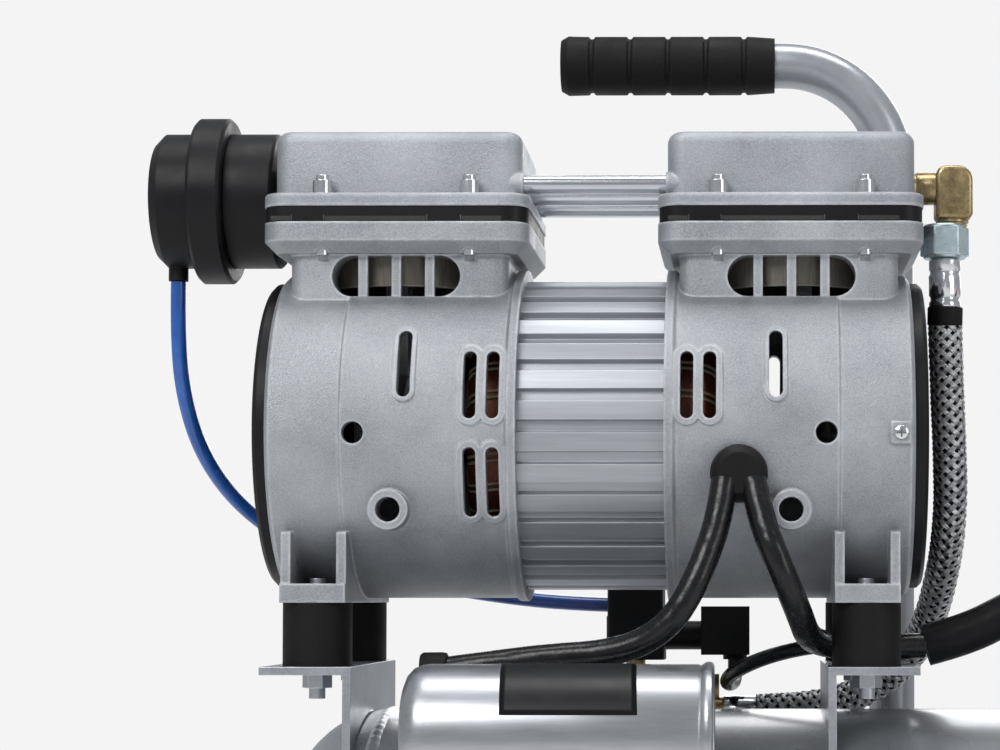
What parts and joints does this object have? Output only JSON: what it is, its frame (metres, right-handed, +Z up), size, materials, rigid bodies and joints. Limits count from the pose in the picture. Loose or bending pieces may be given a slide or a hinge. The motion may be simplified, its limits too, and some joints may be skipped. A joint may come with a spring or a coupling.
{
  "type": "air compressor",
  "caption": "Oil-free twin-cylinder electric air compressor on a horizontal tank, with a carry handle, filter, gauges and outlet coupler.",
  "frame": {"origin": "on the floor under the middle of the object's box", "axes": "+X along the tank towards the outlet, +Y to the handle's side, +Z up"},
  "size_m": [0.602, 0.24, 0.551],
  "materials": {
    "tank_paint": "satin",
    "cast_aluminium": "satin",
    "extruded_aluminium": "satin",
    "handle_paint": "satin",
    "black_plastic": "matte",
    "black_rubber": "matte",
    "zinc_steel": "satin",
    "braided_steel": "satin",
    "brass": "satin",
    "copper": "satin",
    "chrome": "polished",
    "blue_tube": "gloss",
    "foam": "matte",
    "seal": "satin",
    "red_plastic": "satin",
    "iron": "satin",
    "can_metal": "satin",
    "capacitor_cradle": "satin"
  },
  "bodies": {
    "frame": {"tank_shell": "tank_paint", "foot_brackets": "tank_paint", "pump_brackets": "zinc_steel", "rubber_feet": "black_rubber", "mounting_hardware": "zinc_steel", "drain_valve": "brass", "handle_tube": "handle_paint", "handle_grip": "black_rubber", "rubber_mounts": "black_rubber", "housing_left": "cast_aluminium", "housing_right": "cast_aluminium", "stator_shell": "extruded_aluminium", "stator_core": "iron", "windings": "copper", "main_bearings": "zinc_steel", "cylinder_sleeves": "extruded_aluminium", "valve_plates": "black_plastic", "reed_valves": "zinc_steel", "head_left": "cast_aluminium", "head_right": "cast_aluminium", "head_screws": "zinc_steel", "cross_tubes": "chrome", "end_covers": "black_plastic", "filter_body": "black_plastic", "filter_element": "foam", "filter_cover": "black_plastic", "blue_tube": "blue_tube", "brass_elbow": "brass", "hose_fittings": "zinc_steel", "braided_hose": "braided_steel", "check_valve": "brass", "unloader_valve": "black_plastic", "capacitor_can": "can_metal", "capacitor_cradle": "capacitor_cradle", "cable_grommet": "black_rubber", "capacitor_lead": "black_rubber", "motor_lead": "black_rubber", "valve_lead": "black_rubber", "cable_sleeve": "black_rubber", "pressure_switch": "black_plastic", "manifold": "brass", "regulator_body": "cast_aluminium", "gauge_cases": "chrome", "coupler_body": "brass", "safety_valve": "brass"},
    "crankshaft": {"motor_shaft": "zinc_steel", "rotor_core": "iron", "cooling_fans": "black_plastic", "eccentrics": "iron"},
    "left_piston": {"connecting_rod_left": "cast_aluminium", "piston_cup_left": "seal"},
    "right_piston": {"connecting_rod_right": "cast_aluminium", "piston_cup_right": "seal"},
    "drain_knob": {"drain_knob": "brass"},
    "switch_knob": {"switch_knob": "red_plastic"},
    "regulator_knob": {"regulator_knob": "black_plastic"},
    "tank_needle": {"tank_gauge_needle": "black_plastic"},
    "outlet_needle": {"outlet_gauge_needle": "black_plastic"},
    "coupler_sleeve": {"coupler_sleeve": "zinc_steel"},
    "safety_ring": {"safety_ring": "zinc_steel"}
  },
  "joints": [
    {"name": "crankshaft_spin", "type": "hinge", "parent": "frame", "child": "crankshaft", "pos_m": [-0.13, 0, 0.3755], "axis": [1, 0, 0], "continuous": true},
    {"name": "left_piston_slide", "type": "slide", "parent": "frame", "child": "left_piston", "axis": [0, 0, 1], "range_m": [-0.007, 0.007]},
    {"name": "right_piston_slide", "type": "slide", "parent": "frame", "child": "right_piston", "axis": [0, 0, 1], "range_m": [-0.007, 0.007]},
    {"name": "drain_knob_turn", "type": "hinge", "parent": "frame", "child": "drain_knob", "pos_m": [0.016, 0, 0.0107], "axis": [0, 0, 1], "range_deg": [0, 360]},
    {"name": "switch_knob_lift", "type": "slide", "parent": "frame", "child": "switch_knob", "axis": [0, 0, 1], "range_m": [0, 0.006]},
    {"name": "regulator_knob_turn", "type": "hinge", "parent": "frame", "child": "regulator_knob", "pos_m": [0.188, 0, 0.336], "axis": [0, 0, 1], "range_deg": [-360, 360]},
    {"name": "tank_needle_swing", "type": "hinge", "parent": "frame", "child": "tank_needle", "pos_m": [0.105, -0.0265, 0.306], "axis": [0, 1, 0], "range_deg": [0, 270]},
    {"name": "outlet_needle_swing", "type": "hinge", "parent": "frame", "child": "outlet_needle", "pos_m": [0.188, -0.0325, 0.306], "axis": [0, 1, 0], "range_deg": [0, 270]},
    {"name": "coupler_sleeve_slide", "type": "slide", "parent": "frame", "child": "coupler_sleeve", "axis": [-1, 0, 0], "range_m": [0, 0.003], "stiffness_N_per_m": 600},
    {"name": "safety_ring_pull", "type": "slide", "parent": "frame", "child": "safety_ring", "axis": [0, 1, 0], "range_m": [0, 0.005], "stiffness_N_per_m": 800}
  ],
  "couplings": [
    {"joint": "right_piston_slide", "follows": "left_piston_slide", "ratio": -1}
  ]
}
